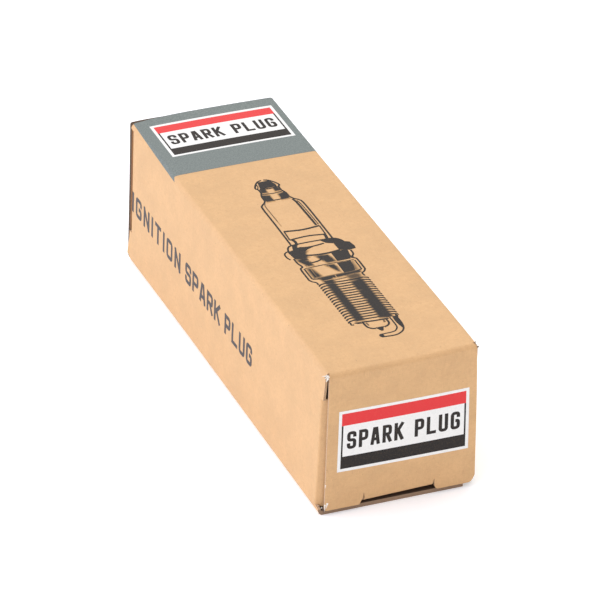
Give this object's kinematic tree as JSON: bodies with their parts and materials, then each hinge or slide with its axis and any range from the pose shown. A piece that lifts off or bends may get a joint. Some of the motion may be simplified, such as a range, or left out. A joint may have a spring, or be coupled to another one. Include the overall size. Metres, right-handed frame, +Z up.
{
  "type": "boxed spark plug",
  "caption": "Kraft carton for a spark plug with printed panels and hinged tuck ends, holding a taper-seat spark plug that slides out and has a removable terminal nut.",
  "frame": {"origin": "centre of the carton's underside, on the surface that it stands on", "axes": "X across the carton, +Y along it towards the rear closure, with the front closure at -Y, and +Z up"},
  "size_m": [0.0254, 0.085, 0.025],
  "materials": {
    "kraft_board": "uncoated kraft carton board, 0.5 mm",
    "glue": "dried glue",
    "plated_steel": "bright nickel plate",
    "bare_steel": "plain steel",
    "insulator_ceramic": "clear-glazed alumina",
    "nickel_alloy": "plain nickel alloy",
    "copper": "bare copper",
    "glass_seal": "fused copper glass",
    "resistor_ceramic": "matte",
    "talc": "pressed powder"
  },
  "bodies": {
    "carton": {"carton_sleeve": "kraft_board", "glue_flap": "kraft_board", "seam_glue": "glue"},
    "front_closure": {"front_closure": "kraft_board"},
    "front_tuck_tab": {"front_tuck_tab": "kraft_board"},
    "front_dust_flap_left": {"front_dust_flap_left": "kraft_board"},
    "front_dust_flap_right": {"front_dust_flap_right": "kraft_board"},
    "rear_closure": {"rear_closure": "kraft_board"},
    "rear_tuck_tab": {"rear_tuck_tab": "kraft_board"},
    "rear_dust_flap_left": {"rear_dust_flap_left": "kraft_board"},
    "rear_dust_flap_right": {"rear_dust_flap_right": "kraft_board"},
    "plug": {"terminal_stud": "bare_steel", "insulator": "insulator_ceramic", "metal_shell": "plated_steel", "ground_electrode": "nickel_alloy", "centre_electrode": "nickel_alloy", "copper_core": "copper", "upper_glass_seal": "glass_seal", "resistor": "resistor_ceramic", "lower_glass_seal": "glass_seal", "upper_packing_ring": "bare_steel", "talc_ring": "talc", "lower_packing_ring": "bare_steel", "seat_washer": "bare_steel"},
    "terminal_nut": {"terminal_nut": "plated_steel"}
  },
  "joints": [
    {"name": "plug_slide", "type": "slide", "parent": "carton", "child": "plug", "axis": [0, -1, 0], "range_m": [0, 0.078]},
    {"name": "front_closure_hinge", "type": "hinge", "parent": "carton", "child": "front_closure", "pos_m": [0, -0.04225, 0.02475], "axis": [-1, 0, 0], "range_deg": [0, 210]},
    {"name": "front_tuck_hinge", "type": "hinge", "parent": "front_closure", "child": "front_tuck_tab", "pos_m": [0, -0.04225, 0.00125], "axis": [1, 0, 0], "range_deg": [0, 32]},
    {"name": "front_dust_left_hinge", "type": "hinge", "parent": "carton", "child": "front_dust_flap_left", "pos_m": [-0.01245, -0.04155, 0.0125], "axis": [0, 0, -1], "range_deg": [0, 130]},
    {"name": "front_dust_right_hinge", "type": "hinge", "parent": "carton", "child": "front_dust_flap_right", "pos_m": [0.01245, -0.04155, 0.0125], "axis": [0, 0, 1], "range_deg": [0, 130]},
    {"name": "rear_closure_hinge", "type": "hinge", "parent": "carton", "child": "rear_closure", "pos_m": [0, 0.04225, 0.00025], "axis": [-1, 0, 0], "range_deg": [0, 88]},
    {"name": "rear_tuck_hinge", "type": "hinge", "parent": "rear_closure", "child": "rear_tuck_tab", "pos_m": [0, 0.04225, 0.02375], "axis": [1, 0, 0], "range_deg": [0, 14]},
    {"name": "rear_dust_left_hinge", "type": "hinge", "parent": "carton", "child": "rear_dust_flap_left", "pos_m": [-0.01245, 0.04155, 0.0125], "axis": [0, 0, 1], "range_deg": [0, 71]},
    {"name": "rear_dust_right_hinge", "type": "hinge", "parent": "carton", "child": "rear_dust_flap_right", "pos_m": [0.01245, 0.04155, 0.0125], "axis": [0, 0, -1], "range_deg": [0, 71]},
    {"name": "terminal_nut_slide", "type": "slide", "parent": "plug", "child": "terminal_nut", "axis": [0, -1, 0], "range_m": [0, 0.007]}
  ],
  "couplings": [
    {"joint": "front_closure_hinge", "follows": "plug_slide", "rad_per_m": 46.9},
    {"joint": "front_tuck_hinge", "follows": "plug_slide", "rad_per_m": 7.03},
    {"joint": "front_dust_left_hinge", "follows": "plug_slide", "rad_per_m": 29},
    {"joint": "front_dust_right_hinge", "follows": "plug_slide", "rad_per_m": 29},
    {"joint": "rear_tuck_hinge", "follows": "rear_closure_hinge", "ratio": 0.15},
    {"joint": "rear_dust_left_hinge", "follows": "rear_closure_hinge", "ratio": 0.8},
    {"joint": "rear_dust_right_hinge", "follows": "rear_closure_hinge", "ratio": 0.8}
  ]
}
